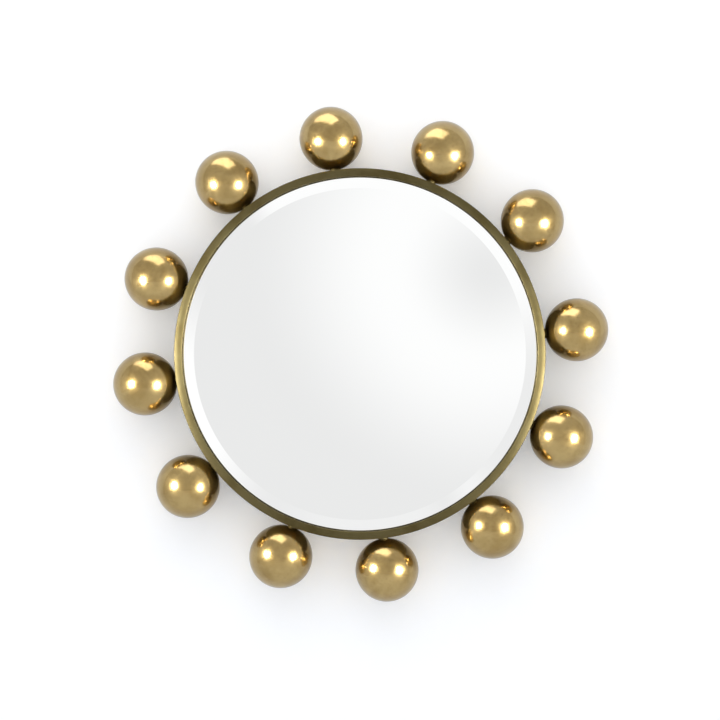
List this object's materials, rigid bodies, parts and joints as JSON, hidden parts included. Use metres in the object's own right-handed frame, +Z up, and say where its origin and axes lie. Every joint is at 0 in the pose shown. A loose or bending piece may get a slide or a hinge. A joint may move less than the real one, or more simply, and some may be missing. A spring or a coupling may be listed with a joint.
{
  "type": "girandole mirror",
  "caption": "Round bevelled wall mirror in a slim brass ring, with hollow brass balls set round it, on a plinth with swinging D-ring hangers.",
  "frame": {"origin": "centre of the ring on the wall plane, which the bumpers bear on", "axes": "+Z up, +Y into the wall, so the mirror faces -Y; +X to the right of someone who looks into it"},
  "size_m": [0.7985, 0.1051, 0.7981],
  "materials": {
    "ring_brass": "brushed and lacquered, aged",
    "ball_brass": "hand-polished, aged",
    "fitting_brass": "as turned",
    "plated_steel": "zinc plated",
    "silvered_glass": "polished, bevelled, silvered at the back",
    "foam_tape": "closed-cell foam",
    "board_black": "fibreboard, painted matt black",
    "tab_steel": "lacquered with the ring",
    "plinth_wood": "plywood ring, painted matt black",
    "bumper_rubber": "moulded",
    "hanger_steel": "bright zinc plated"
  },
  "bodies": {
    "mirror": {"ring_tube": "ring_brass", "ball_01": "ball_brass", "ball_02": "ball_brass", "ball_03": "ball_brass", "ball_04": "ball_brass", "ball_05": "ball_brass", "ball_06": "ball_brass", "ball_07": "ball_brass", "ball_08": "ball_brass", "ball_09": "ball_brass", "ball_10": "ball_brass", "ball_11": "ball_brass", "ball_12": "ball_brass", "ball_inserts": "fitting_brass", "ball_washers": "plated_steel", "ball_screws": "plated_steel", "mirror_glass": "silvered_glass", "mirror_tape": "foam_tape", "backing_board": "board_black", "fixing_tabs": "tab_steel", "tab_screws": "plated_steel", "spacer_plinth": "plinth_wood", "plinth_screws": "plated_steel", "wall_bumpers": "bumper_rubber", "bumper_screws": "plated_steel", "hanger_strap_left": "hanger_steel", "hanger_strap_right": "hanger_steel", "hanger_screws": "plated_steel"},
    "left_d_ring": {"hanger_ring_left": "hanger_steel"},
    "right_d_ring": {"hanger_ring_right": "hanger_steel"}
  },
  "joints": [
    {"name": "left_d_ring_swing", "type": "hinge", "parent": "mirror", "child": "left_d_ring", "pos_m": [-0.11025, -0.0033, 0.20246], "axis": [-1, 0, 0], "range_deg": [0, 178]},
    {"name": "right_d_ring_swing", "type": "hinge", "parent": "mirror", "child": "right_d_ring", "pos_m": [0.11025, -0.0033, 0.20246], "axis": [-1, 0, 0], "range_deg": [0, 178]}
  ]
}
